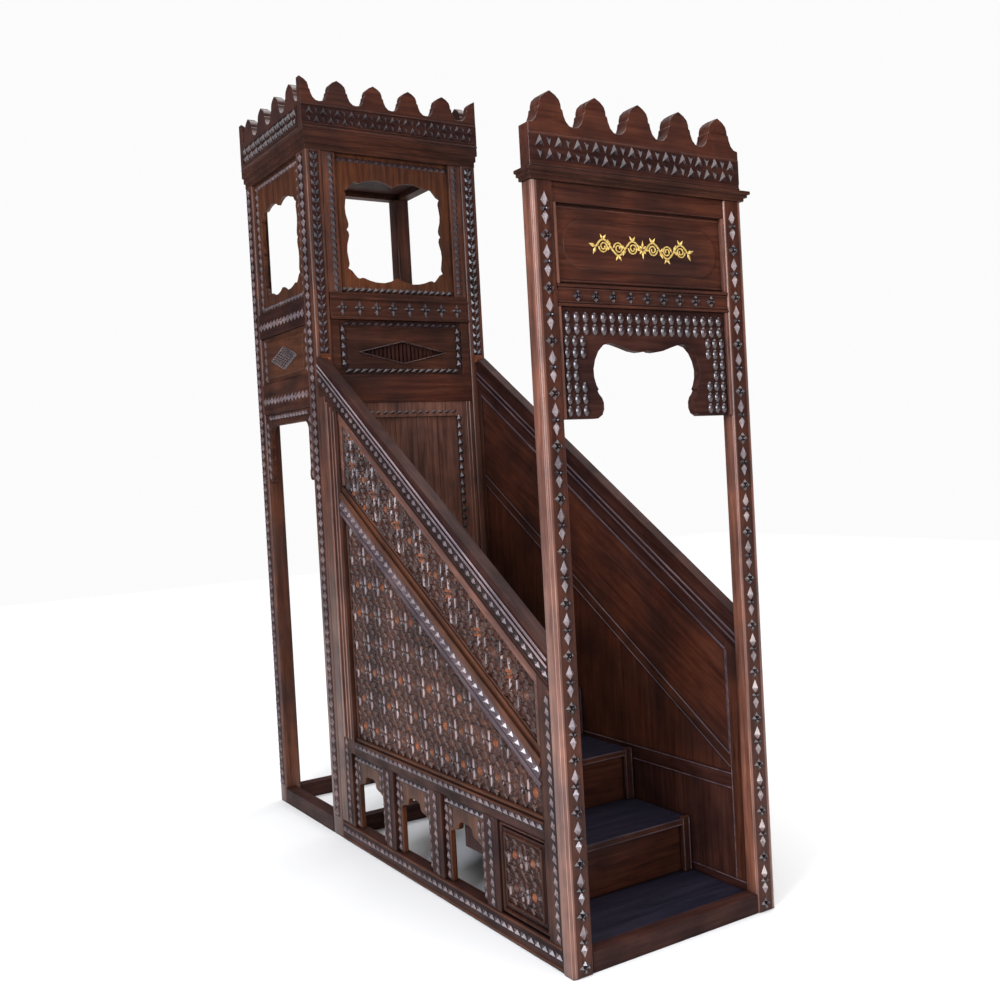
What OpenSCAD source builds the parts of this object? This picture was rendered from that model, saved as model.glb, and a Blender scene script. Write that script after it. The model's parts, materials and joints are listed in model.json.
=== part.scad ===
// Carved wooden minbar: portal, panelled stair with side walls, and a kiosk tower.
// Frame: +Z up, front at -Y, origin on the floor at the centre of the bounding box.

/* [Overall] */
// Width over the two portal posts
stand_w = 900; // [860:10:960]
// Depth from the portal front to the back of the tower posts
stand_d = 2670; // [2600:10:2760]
// Height of the portal to the tips of its merlons
portal_h = 2864; // [2820:4:2920]
// Height of the tower to the tips of its merlons
tower_h = 3480; // [3440:5:3560]

/* [Posts] */
// Width of every post across the stand
post_w = 82; // [76:1:86]
// Depth of a portal post
post_d = 62; // [56:1:70]
// Depth of a front tower post
front_post_d = 118; // [100:2:124]
// Depth of a back tower post
back_post_d = 82; // [76:1:96]
// Radius of the rounded post edges
arris_r = 9; // [4:1:14]

/* [Crests] */
// Height of a portal merlon above the valley beside it
merlon_h = 110; // [90:2:120]
// Thickness of the portal crest board
crest_t = 56; // [44:2:60]
// Height of a tower merlon above the valley beside it
crown_merlon_h = 104; // [86:2:112]
// Thickness of the tower crown boards
crown_t = 40; // [30:2:46]
// How far the portal cornice stands proud of the posts
cornice_over = 26; // [12:2:34]
// How far the tower crown stands proud of the posts
crown_over = 12; // [4:1:20]

/* [Side walls] */
// Thickness of the side wall rails and stiles
wall_t = 50; // [44:1:54]
// Top of the handrail where its line meets the portal front
hand_z = 1024; // [1000:4:1050]
// Rise of the handrail for each unit of depth
hand_slope = 0.64; // [0.62:0.01:0.66]
// Upright depth of the handrail
hand_deep = 138; // [120:2:150]
// Top of the sloping middle rail where its line meets the portal front
mid_z = 635; // [625:5:645]
// Rise of the sloping middle rail for each unit of depth
mid_slope = 0.588; // [0.58:0.004:0.6]
// Upright depth of the sloping middle rail
mid_deep = 128; // [110:2:140]
// Underside of the level rail
level_lo = 420; // [412:2:430]
// Top of the level rail
level_hi = 480; // [474:2:490]
// Height of the base rail
base_h = 85; // [76:1:96]
// Clear width of one base arch
arch_w = 240; // [210:5:256]
// Distance from one base arch to the next
arch_pitch = 422; // [410:2:430]
// Width of the board on each side of a base arch
arch_side = 42; // [30:2:50]
// Thickness of the inner skin of the side walls
skin = 12; // [10:1:16]

/* [Stair] */
// Height of the floor board inside the portal
floor_top = 50; // [44:1:60]
// Rise of one step
step_rise = 205; // [195:1:210]
// Going of one step
step_run = 351; // [340:1:360]
// Depth from the portal front to the first riser
first_riser = 410; // [395:5:425]
// Thickness of the treads
tread_t = 20; // [16:1:30]
// Thickness of the risers
riser_t = 18; // [14:1:24]

/* [Windows and panels] */
// Clear width of the scalloped front window
window_w = 504; // [470:2:516]
// Clear height of the scalloped front window
window_h = 482; // [450:2:492]
// Clear width of the scalloped side window
side_window_w = 468; // [430:2:500]
// Clear height of the scalloped side window
side_window_h = 444; // [420:2:460]
// Number of turned spindles in the front grille
spindles = 21; // [15:2:25]
// Number of planks in the seat back
planks = 5; // [3:1:7]

/* [Hidden] */
$fn = 32;
front_over = cornice_over;
y_front = (front_over - crown_over - stand_d) / 2;
tower_w = stand_w - 12;
tower_y = stand_d - 815;
tx = tower_w / 2;
px = stand_w / 2;
in_x = tx - wall_t;
jamb = tx - post_w;
// portal levels
crest_lo = portal_h - 256;
cornice_lo = crest_lo - 35;
top_rail_lo = cornice_lo - 65;
panel_lo = top_rail_lo - 264;
rosette_lo = panel_lo - 71;
valance_lo = 1807;
strip_w = 12;
// tower levels
crown_lo = tower_h - 240;
roof_lo = crown_lo - 84;
side_sill_lo = roof_lo - 781;
win_lo = roof_lo - 648;
side_win_lo = roof_lo - 658;
front_rail_h = 123;
grille_lo = roof_lo - 1027;
grille_hi = win_lo - front_rail_h;
grille_mid = grille_lo + 105;
seat_hi = grille_lo - 131;
valance_top = roof_lo - 1164;
window_mid = roof_lo - 350;
side_window_mid = roof_lo - 362;
platform_top = floor_top + 4 * step_rise;
side_lo = tower_y + front_post_d;
side_hi = stand_d - back_post_d;
side_mid = (side_lo + side_hi) / 2;
side_len = side_hi - side_lo;
front_stile = post_d + 78;
arch_mid = 711;
arch_lo = arch_mid - arch_w / 2;
back_stile = arch_lo + 2 * arch_pitch + arch_w;
base_panel_hi = arch_lo - 141;
// drop from the handrail's top to its inner lip, and to the top and bottom of the inner band
lip_drop = 172;
band_drop = 562;
band_bottom = 616;
field_end = tower_y - 27;
nosing = 20;
dark = [0.24, 0.12, 0.08];
warm = [0.42, 0.24, 0.15];
red = [0.3, 0.13, 0.09];
tread_c = [0.12, 0.1, 0.11];
plank_c = [0.36, 0.27, 0.2];

// ---------- helpers ----------
// Everything is drawn with Y = 0 at the portal front and moved into the frame here.
module place() translate([0, y_front, 0]) children();

// Draws its children on the left wall, or mirrored on the right one.
module on_side(right) {
  place()
    if (right) mirror([1, 0, 0]) children();
    else children();
}

// Draws its children on both walls.
module both() {
  place() {
    children();
    mirror([1, 0, 0]) children();
  }
}

function arc(cx, cy, r, a0, a1, n) =
  [for (i = [0:n]) [cx + r * cos(a0 + (a1 - a0) * i / n), cy + r * sin(a0 + (a1 - a0) * i / n)]];

function round_rect(x0, y0, x1, y1, r, n = 3) = concat(
  arc(x1 - r, y0 + r, r, -90, 0, n), arc(x1 - r, y1 - r, r, 0, 90, n),
  arc(x0 + r, y1 - r, r, 90, 180, n), arc(x0 + r, y0 + r, r, 180, 270, n));

function rev(p) = [for (i = [len(p) - 1:-1:0]) p[i]];
function flip(p) = [for (q = rev(p)) [-q[0], q[1]]];
function below(p) = [for (q = p) [q[0], -q[1]]];
function shift(p, dx, dy) = [for (q = p) [q[0] + dx, q[1] + dy]];
function stretch(p, sx, sy) = [for (q = p) [q[0] * sx, q[1] * sy]];

// A plate in the depth-height plane, t thick from x0 towards +X.
module wall_plate(x0, t, pts) translate([x0, 0, 0]) rotate([90, 0, 90]) linear_extrude(t) polygon(pts);

// A plate in the width-height plane, t thick from y0 towards +Y.
module face_plate(y0, t, pts) translate([0, y0 + t, 0]) rotate([90, 0, 0]) linear_extrude(t) polygon(pts);

module box(x0, y0, z0, x1, y1, z1) translate([x0, y0, z0]) cube([x1 - x0, y1 - y0, z1 - z0]);

module post(x0, y0, x1, y1, h) linear_extrude(h) polygon(round_rect(x0, y0, x1, y1, arris_r));

// ---------- merlons ----------
// Half of one merlon from its tip to the middle of the valley, in units of half pitch and height.
function merlon_half() = [[0, 1], [0.25, 0.885], [0.41, 0.76], [0.47, 0.62], [0.48, 0.5],
  [0.54, 0.47], [0.57, 0.33], [0.66, 0.15], [0.81, 0.03], [1, 0]];
function tail(pts) = [for (i = [1:len(pts) - 1]) pts[i]];
function merlon_fall(cx, z, p, h) = shift(stretch(merlon_half(), p / 2, h), cx, z);
function merlon_rise(cx, z, p, h) = shift(flip(stretch(merlon_half(), p / 2, h)), cx, z);
// One merlon from the point after its left valley to its right valley.
function merlon(cx, z, p, h) = concat(tail(merlon_rise(cx, z, p, h)), tail(merlon_fall(cx, z, p, h)));
// A row of n full merlons centred on zero, without its first valley point.
function merlon_row(n, z, p, h) =
  [for (i = [0:n - 1]) for (q = merlon((i - (n - 1) / 2) * p, z, p, h)) q];

// ---------- portal ----------
module portal_post(right) {
  color(warm) place()
    if (right) post(px - post_w, 0, px, post_d, cornice_lo);
    else post(-px, 0, -px + post_w, post_d, cornice_lo);
}

module portal_sill() color(dark) place() box(post_w - px, 4, 0, px - post_w, post_d, 68);

module portal_crest() color(dark) place()
  face_plate(2, crest_t, concat(
    [[px, crest_lo], [-px, crest_lo], [-px, portal_h - merlon_h]],
    merlon_row(5, portal_h - merlon_h, stand_w / 5, merlon_h)));

// Three stepped courses that wrap the front and both ends.
module portal_cornice() color(dark) place()
  for (i = [0:2]) {
    over = cornice_over * [0.35, 0.7, 1][i];
    box(-px - over, -over, cornice_lo + [0, 12, 23][i],
      px + over, post_d, cornice_lo + [12, 23, 35][i]);
  }

module portal_top_rail() color(dark) place()
  box(post_w - px, 6, top_rail_lo, px - post_w, 46, cornice_lo);

// Flat board with a raised field whose ends are half round.
module portal_panel() color(red) place() {
  hw = px - post_w - 44;
  zc = (panel_lo + top_rail_lo) / 2;
  hh = 84;
  box(post_w - px + strip_w, 20, panel_lo, px - post_w - strip_w, 40, top_rail_lo);
  face_plate(14, 8, concat(
    arc(hw - 78, zc, hh, -72, 72, 8), arc(78 - hw, zc, hh, 108, 252, 8)));
}

module portal_rosette_rail() color(red) place() {
  box(post_w - px, 6, rosette_lo, px - post_w, 46, panel_lo);
  box(post_w - px, 0, rosette_lo, px - post_w, 8, rosette_lo + 9);
  box(post_w - px, 0, panel_lo - 9, px - post_w, 8, panel_lo);
}

function valance_half() = [[0, 229], [14, 223], [36, 221], [68, 226], [105, 238], [140, 248],
  [162, 250], [186, 243], [208, 222], [223, 194], [231, 164], [230, 136], [222, 110],
  [214, 96], [219, 91], [213, 80], [202, 68], [196, 52], [196, 30], [204, 11], [222, 0]];

module portal_valance() color(dark) place() {
  w = px - post_w - strip_w;
  h = valance_half();
  face_plate(16, 34, shift(concat(
    [[w, 0], [w, rosette_lo - valance_lo], [-w, rosette_lo - valance_lo], [-w, 0]],
    flip(h), tail(h)), 0, valance_lo));
}

// Pair of upright mouldings between the posts and the boards.
module portal_strips() color(warm) both() {
  box(post_w - px, 4, valance_lo, post_w - px + strip_w, 52, rosette_lo);
  box(post_w - px, 4, panel_lo, post_w - px + strip_w, 52, top_rail_lo);
}

// ---------- side walls ----------
function hand(y) = hand_z + hand_slope * y;
function mid(y) = mid_z + mid_slope * y;
function sloped(y0, y1, za, zb) = [[y0, za[0]], [y1, za[1]], [y1, zb[1]], [y0, zb[0]]];

module slope_plate(x0, t, y0, y1, lo0, lo1, hi0, hi1)
  wall_plate(x0, t, [[y0, lo0], [y1, lo1], [y1, hi1], [y0, hi0]]);

module handrail(right) color(dark) on_side(right) {
  a = post_d;
  b = tower_y;
  slope_plate(-tx, wall_t, a, b, hand(a) - hand_deep, hand(b) - hand_deep, hand(a), hand(b));
  for (d = [34, 58]) hand_bead(-tx - 4, d);
  for (d = [70, 97]) hand_bead(-in_x - 4, d);
  f = front_stile;
  slope_plate(-in_x - skin, skin, f, b,
    hand(f) - lip_drop, hand(b) - lip_drop, hand(f) - hand_deep, hand(b) - hand_deep);
}

// Square bead along the handrail, d below its top.
module hand_bead(x0, d)
  slope_plate(x0, 8, post_d, tower_y,
    hand(post_d) - d - 8, hand(tower_y) - d - 8, hand(post_d) - d, hand(tower_y) - d);

// Carved rail on the outside, and a flat band on the inner skin parallel to the handrail.
module slope_rail(right) color(dark) on_side(right) {
  a = front_stile;
  b = back_stile;
  e = field_end;
  slope_plate(-tx, wall_t - skin, a, b, mid(a) - mid_deep, mid(b) - mid_deep,
    mid(a) - 26, mid(b) - 26);
  slope_plate(-tx + 14, 24, a, b, mid(a) - 40, mid(b) - 40, mid(a), mid(b));
  slope_plate(-in_x - skin, skin, a, e, hand(a) - band_bottom, hand(e) - band_bottom,
    hand(a) - band_drop, hand(e) - band_drop);
}

module level_rail(right) color(dark) on_side(right)
  box(-tx, front_stile, level_lo, -in_x, back_stile, level_hi);

module base_rail(right) color(dark) on_side(right)
  box(-tx, post_d, 0, -in_x, tower_y, base_h);

module front_stile_piece(right) color(dark) on_side(right)
  slope_plate(-tx, wall_t, post_d, front_stile, base_h, base_h,
    hand(post_d) - hand_deep, hand(front_stile) - hand_deep);

// The stile steps back beside the last arch; a strip of the inner skin ends the wall.
module back_stile_piece(right) color(warm) on_side(right) {
  b = back_stile + arch_side;
  wall_plate(-tx, wall_t - skin, [[b, base_h], [tower_y, base_h],
    [tower_y, hand(tower_y) - hand_deep], [back_stile, hand(back_stile) - hand_deep],
    [back_stile, level_lo], [b, level_lo]]);
  slope_plate(-in_x - skin, skin, field_end, tower_y, base_h, base_h,
    hand(field_end) - lip_drop, hand(tower_y) - lip_drop);
}

// Board between the handrail and the middle rail, with a plain field inside.
module upper_panel(right) color(warm) on_side(right) {
  a = front_stile;
  b = back_stile;
  e = field_end;
  slope_plate(-tx + 22, 16, a, b, mid(a), mid(b), hand(a) - hand_deep, hand(b) - hand_deep);
  slope_plate(-tx + 38, 6, a, e, hand(a) - band_drop, hand(e) - band_drop,
    hand(a) - lip_drop, hand(e) - lip_drop);
}

module lower_panel(right) color(warm) on_side(right) {
  a = front_stile;
  b = back_stile;
  e = field_end;
  slope_plate(-tx + 22, 16, a, b, level_hi, level_hi, mid(a) - mid_deep, mid(b) - mid_deep);
  slope_plate(-tx + 38, 6, a, e, level_hi, level_hi, hand(a) - band_bottom, hand(e) - band_bottom);
}

// Square carved panel between the front stile and the first base stile, and the plain
// lining behind it that runs on over the first tread.
module base_panel(right) color(warm) on_side(right) {
  step = floor_top + step_rise - tread_t;
  second = first_riser + step_run;
  box(-tx + 18, front_stile, base_h, -tx + 38, base_panel_hi, level_lo);
  box(-tx + 10, front_stile + 24, base_h + 30, -tx + 19, base_panel_hi - 24, level_lo - 24);
  wall_plate(-in_x - skin, skin, [[front_stile, base_h], [first_riser, base_h],
    [first_riser, step], [second, step], [second, level_lo], [front_stile, level_lo]]);
}

// Uprights of the base, one before each arch.
module base_stiles() color(dark) both()
  for (i = [0:2]) {
    lo = i == 0 ? base_panel_hi : arch_lo + arch_pitch * (i - 1) + arch_w + arch_side;
    box(-tx, lo, base_h, -in_x - skin, arch_lo + arch_pitch * i - arch_side, level_lo);
  }

// Boards of the three base arches on each side, each cut to a cusped head.
// Outline in units of half the clear width, and of height below the level rail.
function head_half() = [[0, -87], [0.2, -84], [0.36, -90], [0.42, -100], [0.44, -112],
  [0.5, -120], [0.62, -124], [0.8, -128], [0.9, -134], [1, -140]];
module arch_heads() color(warm) both()
  for (i = [0:2]) {
    w = arch_w / 2;
    o = w + arch_side;
    foot = base_h - level_lo;
    h = stretch(head_half(), w, 1);
    wall_plate(-tx + 14, 22, shift(concat(
      [[o, 0], [-o, 0], [-o, foot], [-w, foot]], flip(h), tail(h), [[w, foot], [o, foot]]),
      arch_mid + arch_pitch * i, level_lo));
  }

// ---------- stair ----------
module floor_board() color(tread_c) place()
  box(-in_x, post_d, floor_top - tread_t, in_x, first_riser + riser_t, floor_top);

// One step board from its riser back, with a nosing between the end strips.
module step_board(y, top, y_back) {
  box(-in_x, y, top - tread_t, in_x, y_back, top);
  box(44 - in_x, y - nosing, top - tread_t, in_x - 44, y + 1, top);
}

module stair_treads() color(tread_c) place()
  for (i = [0:2])
    step_board(first_riser + step_run * i, floor_top + step_rise * (i + 1),
      first_riser + step_run * (i + 1) + riser_t);

module stair_platform() color(tread_c) place()
  step_board(first_riser + step_run * 3, platform_top, tower_y);

module stair_risers() color(dark) place()
  for (i = [0:3])
    box(-in_x, first_riser + step_run * i, floor_top + step_rise * i,
      in_x, first_riser + step_run * i + riser_t, floor_top + step_rise * (i + 1) - tread_t);

// Upright strips that cover the ends of the risers and nosings.
module riser_end_strips() color(warm) both()
  for (i = [0:3])
    box(-in_x, first_riser + step_run * i - nosing, floor_top + step_rise * i,
      44 - in_x, first_riser + step_run * i, floor_top + step_rise * (i + 1) + 7);

// ---------- tower ----------
module tower_post(right, back) color(warm) on_side(right)
  if (back) post(-tx, stand_d - back_post_d, -jamb, stand_d, roof_lo);
  else post(-tx, tower_y, -jamb, side_lo, roof_lo);

module tower_side_sills() color(dark) both()
  box(-tx, side_lo, 0, 62 - tx, side_hi, 76);

module tower_cross_sills() color(dark) place() {
  box(-jamb, tower_y + 10, 0, jamb, tower_y + 70, 76);
  box(-jamb, stand_d - 70, 0, jamb, stand_d - 10, 76);
}

// Stepped ring that carries the crown.
module tower_cornice() color(dark) place()
  difference() {
    union() {
      box(-tx, tower_y, roof_lo, tx, stand_d, roof_lo + 26);
      box(-tx - 6, tower_y - 6, roof_lo + 26, tx + 6, stand_d + 6, roof_lo + 54);
      box(-tx - crown_over, tower_y - crown_over, roof_lo + 54,
        tx + crown_over, stand_d + crown_over, crown_lo);
    }
    box(60 - tx, tower_y + 60, roof_lo - 1, tx - 60, stand_d - 60, crown_lo + 1);
  }

module tower_ceiling() color(dark) place()
  box(60 - tx, tower_y + 60, roof_lo + 30, tx - 60, stand_d - 60, roof_lo + 48);

crown_w = tower_w + 2 * crown_over;
// Broad crown board: four full merlons and a half one at each end.
module crown_broad(y0) color(dark) place() {
  p = crown_w / 5;
  z = tower_h - crown_merlon_h;
  face_plate(y0, crown_t, concat([[crown_w / 2, crown_lo], [-crown_w / 2, crown_lo]],
    merlon_fall(-crown_w / 2, z, p, crown_merlon_h),
    merlon_row(4, z, p, crown_merlon_h),
    tail(merlon_rise(crown_w / 2, z, p, crown_merlon_h))));
}

// Side crown board: four merlons between the broad boards.
module crown_side(right) color(dark) on_side(right) {
  len_y = stand_d - tower_y + 2 * crown_over - 2 * crown_t;
  mid_y = (tower_y + stand_d) / 2;
  wall_plate(-tx - crown_over, crown_t, concat(
    [[mid_y + len_y / 2, crown_lo], [mid_y - len_y / 2, crown_lo],
      [mid_y - len_y / 2, tower_h - crown_merlon_h]],
    shift(merlon_row(4, tower_h - crown_merlon_h, len_y / 4, crown_merlon_h), mid_y, 0)));
}

// Quarter of the scalloped window, from the top cusp round to the side notch.
function scallop() = [[0, 0.892], [0.13, 0.962], [0.27, 0.998], [0.36, 1], [0.46, 0.992],
  [0.58, 0.963], [0.685, 0.92], [0.735, 0.915], [0.765, 0.938], [0.82, 0.92], [0.87, 0.86],
  [0.925, 0.79], [1, 0.745], [0.975, 0.7], [0.968, 0.655], [0.985, 0.54], [1, 0.42],
  [0.99, 0.29], [0.96, 0.18], [0.945, 0.11], [0.955, 0.045], [0.99, 0]];
function window_top(w, h) =
  concat(flip(stretch(scallop(), w / 2, h / 2)), tail(stretch(scallop(), w / 2, h / 2)));
function window_outline(w, h) =
  concat(window_top(w, h), below(tail(rev(tail(window_top(w, h))))));

module window_board_front() color(warm) place()
  translate([0, tower_y + 40, 0]) rotate([90, 0, 0]) linear_extrude(18)
    difference() {
      polygon([[-297, win_lo], [297, win_lo], [297, roof_lo], [-297, roof_lo]]);
      polygon(shift(window_outline(window_w, window_h), 0, window_mid));
    }

module window_board_left() color(warm) place()
  translate([20 - tx, 0, 0]) rotate([90, 0, 90]) linear_extrude(18)
    difference() {
      polygon([[side_lo, side_win_lo], [side_hi, side_win_lo],
        [side_hi, roof_lo], [side_lo, roof_lo]]);
      polygon(shift(window_outline(side_window_w, side_window_h), side_mid, side_window_mid));
    }

module window_stiles() color(dark) both()
  box(-jamb, tower_y + 6, win_lo, -297, tower_y + 46, roof_lo);

module front_rail() color(dark) place() {
  box(-jamb, tower_y, grille_hi, jamb, tower_y + 50, win_lo);
  for (z = [grille_hi, win_lo - 32])
    box(-jamb, tower_y - 6, z, jamb, tower_y + 1, z + 12);
}

function diamond(hw, hh, cx, cz) = [[cx - hw, cz], [cx, cz - hh], [cx + hw, cz], [cx, cz + hh]];
// Board with thicker ends and a diamond opening right through it.
module grille_panel() color(warm) place()
  difference() {
    union() {
      box(-jamb, tower_y + 16, grille_lo, jamb, tower_y + 34, grille_hi);
      for (s = [-1, 1]) {
        mid_x = s * (jamb - 21);
        box(mid_x - 21, tower_y + 8, grille_lo, mid_x + 21, tower_y + 17, grille_hi);
      }
    }
    face_plate(tower_y, 60, diamond(226, 52, 0, grille_mid));
  }

// Half-round spindles fixed flat against the back of the grille board.
module grille_spindles() color(dark) place()
  for (i = [0:spindles - 1])
    translate([(i - (spindles - 1) / 2) * 440 / spindles, tower_y + 34, grille_mid - 68])
      difference() {
        cylinder(r = 7, h = 136);
        translate([-10, -20, -1]) cube([20, 20, 138]);
      }

module front_lower_rail() color(dark) place()
  box(-jamb, tower_y + 6, seat_hi, jamb, tower_y + 46, grille_lo);

// Tall plank panel above the stair platform, in a flat frame.
module seat_back() color(plank_c) place() {
  w = 280 * 2 / planks;
  for (i = [0:planks - 1])
    box(-280 + w * i + 1, tower_y + 22, platform_top + 60, -280 + w * (i + 1) - 1,
      tower_y + 40, seat_hi - 70);
  box(-280, tower_y + 30, platform_top + 50, 280, tower_y + 44, seat_hi - 60);
  for (s = [-1, 1]) box(s > 0 ? 280 : -jamb, tower_y + 10, platform_top - tread_t,
    s > 0 ? jamb : -280, tower_y + 46, seat_hi);
  box(-280, tower_y + 10, seat_hi - 70, 280, tower_y + 46, seat_hi);
  box(-280, tower_y + 10, platform_top - tread_t, 280, tower_y + 46, platform_top + 60);
}

module side_rails_upper() color(dark) both()
  box(-tx + 2, side_lo, side_sill_lo, -tx + 46, side_hi, side_win_lo);

module side_rails_lower() color(dark) both()
  box(-tx + 2, side_lo, valance_top, -tx + 46, side_hi, valance_top + 150);

// Side panels under the windows, with a frame and a raised field.
module side_panels() color(warm) both() {
  box(-tx + 16, side_lo, valance_top + 150, -tx + 36, side_hi, side_sill_lo);
  box(-tx + 8, side_lo + 62, valance_top + 178, -tx + 17, side_hi - 62, side_sill_lo - 30);
}

// Half outline of the side valance: straight head, round haunch, leg with a small foot.
function side_valance_half(w) = concat([[0, 280]], arc(w - 98, 235, 45, 90, 0, 5),
  [[w - 54, 60], [w - 62, 44], [w - 64, 22], [w - 58, 6], [w - 46, 0]]);
module side_valances() color(warm) both() {
  w = side_len / 2;
  h = side_valance_half(w);
  wall_plate(-tx + 10, 24, shift(concat([[w, 0], [w, 342], [-w, 342], [-w, 0]],
    flip(h), tail(h)), side_mid, valance_top - 342));
}

// Plain board that closes the back between the passage and the window level.
module tower_back_panel() color(dark) place() {
  box(-jamb, stand_d - 46, valance_top, jamb, stand_d - 10, win_lo);
  box(60 - jamb, stand_d - 52, valance_top + 60, jamb - 60, stand_d - 45, win_lo - 60);
}

portal_post(false);  // portal_post_left
portal_post(true);  // portal_post_right
portal_sill();
portal_crest();
portal_cornice();
portal_top_rail();
portal_panel();
portal_rosette_rail();
portal_valance();
portal_strips();
handrail(false);  // handrail_left
slope_rail(false);  // slope_rail_left
level_rail(false);  // level_rail_left
base_rail(false);  // base_rail_left
front_stile_piece(false);  // front_stile_left
back_stile_piece(false);  // back_stile_left
upper_panel(false);  // upper_panel_left
lower_panel(false);  // lower_panel_left
base_panel(false);  // base_panel_left
handrail(true);  // handrail_right
slope_rail(true);  // slope_rail_right
level_rail(true);  // level_rail_right
base_rail(true);  // base_rail_right
front_stile_piece(true);  // front_stile_right
back_stile_piece(true);  // back_stile_right
upper_panel(true);  // upper_panel_right
lower_panel(true);  // lower_panel_right
base_panel(true);  // base_panel_right
base_stiles();
arch_heads();
floor_board();
stair_treads();
stair_platform();
stair_risers();
riser_end_strips();
tower_post(false, false);  // tower_post_front_left
tower_post(true, false);  // tower_post_front_right
tower_post(false, true);  // tower_post_back_left
tower_post(true, true);  // tower_post_back_right
tower_side_sills();
tower_cross_sills();
tower_cornice();
tower_ceiling();
crown_broad(tower_y - crown_over);  // crown_front
crown_broad(stand_d + crown_over - crown_t);  // crown_back
crown_side(false);  // crown_left
crown_side(true);  // crown_right
window_board_front();
window_stiles();
window_board_left();
front_rail();
grille_panel();
grille_spindles();
front_lower_rail();
seat_back();
side_rails_upper();
side_rails_lower();
side_panels();
side_valances();
tower_back_panel();
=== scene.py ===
"""Looks for the carved wooden minbar: eased boards, carved beads, stars and lattices, stained wood."""

import json
import math

import bmesh
import bpy
from mathutils import Matrix, Vector


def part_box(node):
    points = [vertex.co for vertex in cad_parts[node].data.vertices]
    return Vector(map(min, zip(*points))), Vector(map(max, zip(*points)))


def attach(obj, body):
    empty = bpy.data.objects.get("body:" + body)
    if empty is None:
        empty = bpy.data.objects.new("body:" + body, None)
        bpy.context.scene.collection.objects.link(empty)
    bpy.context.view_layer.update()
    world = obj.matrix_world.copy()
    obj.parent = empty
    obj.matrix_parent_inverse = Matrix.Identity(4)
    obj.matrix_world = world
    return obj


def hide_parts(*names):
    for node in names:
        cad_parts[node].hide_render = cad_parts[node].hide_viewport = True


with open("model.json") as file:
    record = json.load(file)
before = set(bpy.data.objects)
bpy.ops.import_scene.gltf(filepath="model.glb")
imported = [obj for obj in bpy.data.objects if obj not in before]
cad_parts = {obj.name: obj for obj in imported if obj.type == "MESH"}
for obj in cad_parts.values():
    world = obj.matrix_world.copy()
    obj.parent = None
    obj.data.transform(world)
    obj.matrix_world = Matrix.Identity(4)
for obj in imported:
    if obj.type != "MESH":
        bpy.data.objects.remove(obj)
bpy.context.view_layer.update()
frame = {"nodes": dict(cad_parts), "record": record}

# ---- measures
# The numbers here are mm, or rise over run, as in the CAD, where a node's box can't give them.
MM = 0.001
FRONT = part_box("portal_post_left")[0].y
LEFT = -1
RIGHT = 1
SIDES = {"left": LEFT, "right": RIGHT}
HAND_SLOPE = 0.64
MID_SLOPE = 0.588
MID_FOOT = 635
HAND_DEEP = 138
MID_DEEP = 128
LIP_DROP = 172
BAND_DROP = 562
BAND_BOTTOM = 616
ARCH_PITCH = 422
ARCH_SIDE = 42
GOING = 351
RISE = 205
TREAD_T = 20

X = Vector((1, 0, 0))
Y = Vector((0, 1, 0))
Z = Vector((0, 0, 1))
AHEAD = -Y


def at(x, y, z):
    """A point in mm, with y counted back from the portal's front face, as a point of the frame."""
    return Vector((x * MM, FRONT + y * MM, z * MM))


def across(x, y, z):
    """Both ends of a level line across the minbar, from -x to x."""
    return at(-x, y, z), at(x, y, z)


def upward(x, y, low, high):
    """Both ends of an upright line."""
    return at(x, y, low), at(x, y, high)


def span(cad_name):
    """Lowest and highest corner of a CAD node in mm, with y counted back from the portal's front."""
    lo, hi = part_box(cad_name)
    shift = Vector((0, FRONT, 0))
    return (lo - shift) / MM, (hi - shift) / MM


PORTAL_POST = span("portal_post_left")
POST_OUT = -PORTAL_POST[0].x
POST_IN = -PORTAL_POST[1].x
POST_BACK = PORTAL_POST[1].y
TOWER_POST = span("tower_post_front_left")
TOWER_Y = TOWER_POST[0].y
JAMB = -TOWER_POST[1].x
SIDE_LO = TOWER_POST[1].y
ROOF = TOWER_POST[1].z
SIDE_HI = span("tower_post_back_left")[0].y
BACK_Y = span("tower_post_back_left")[1].y
LEVEL_RAIL = span("level_rail_left")
WALL_OUT = -LEVEL_RAIL[0].x
WALL_IN = -LEVEL_RAIL[1].x
LEVEL_LO = LEVEL_RAIL[0].z
LEVEL_HI = LEVEL_RAIL[1].z
BASE_H = span("base_rail_left")[1].z
HAND_END = span("handrail_left")[1]
STILE_Y = span("front_stile_left")[1].y
PANEL_BACK = span("back_stile_left")[0].y
BASE_PANEL_END = span("base_stiles")[0].y
HEADS = span("arch_heads")
ARCH_W = HEADS[1].y - HEADS[0].y - 2 * ARCH_PITCH - 2 * ARCH_SIDE
ARCH_MID = HEADS[0].y + ARCH_SIDE + ARCH_W / 2


def hand_top(y):
    """Height of the handrail's top at a depth."""
    return HAND_END.z - HAND_SLOPE * (HAND_END.y - y)


def mid_top(y):
    """Height of the sloping middle rail's top at a depth."""
    return MID_FOOT + MID_SLOPE * y


# ---- materials
def fill(tree, made, **values):
    """Sets a node's settings and inputs. An input takes a value, a socket or a node's first output."""
    for key, value in values.items():
        if hasattr(made, key):
            setattr(made, key, value)
            continue
        socket = made.inputs[key.replace("_", " ")]
        if isinstance(value, bpy.types.Node):
            value = value.outputs[0]
        if isinstance(value, bpy.types.NodeSocket):
            tree.links.new(value, socket)
        else:
            socket.default_value = value


def node(tree, kind, **values):
    made = tree.nodes.new(kind)
    fill(tree, made, **values)
    return made


def ramp(tree, source, stops):
    """Colours set by a value from 0 to 1, as (place, colour) stops."""
    made = node(tree, "ShaderNodeValToRGB", Fac=source)
    band = made.color_ramp
    while len(band.elements) < len(stops):
        band.elements.new(0.5)
    for element, (place, colour) in zip(band.elements, stops):
        element.position = place
        element.color = (*colour, 1)
    return made.outputs[0]


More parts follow.
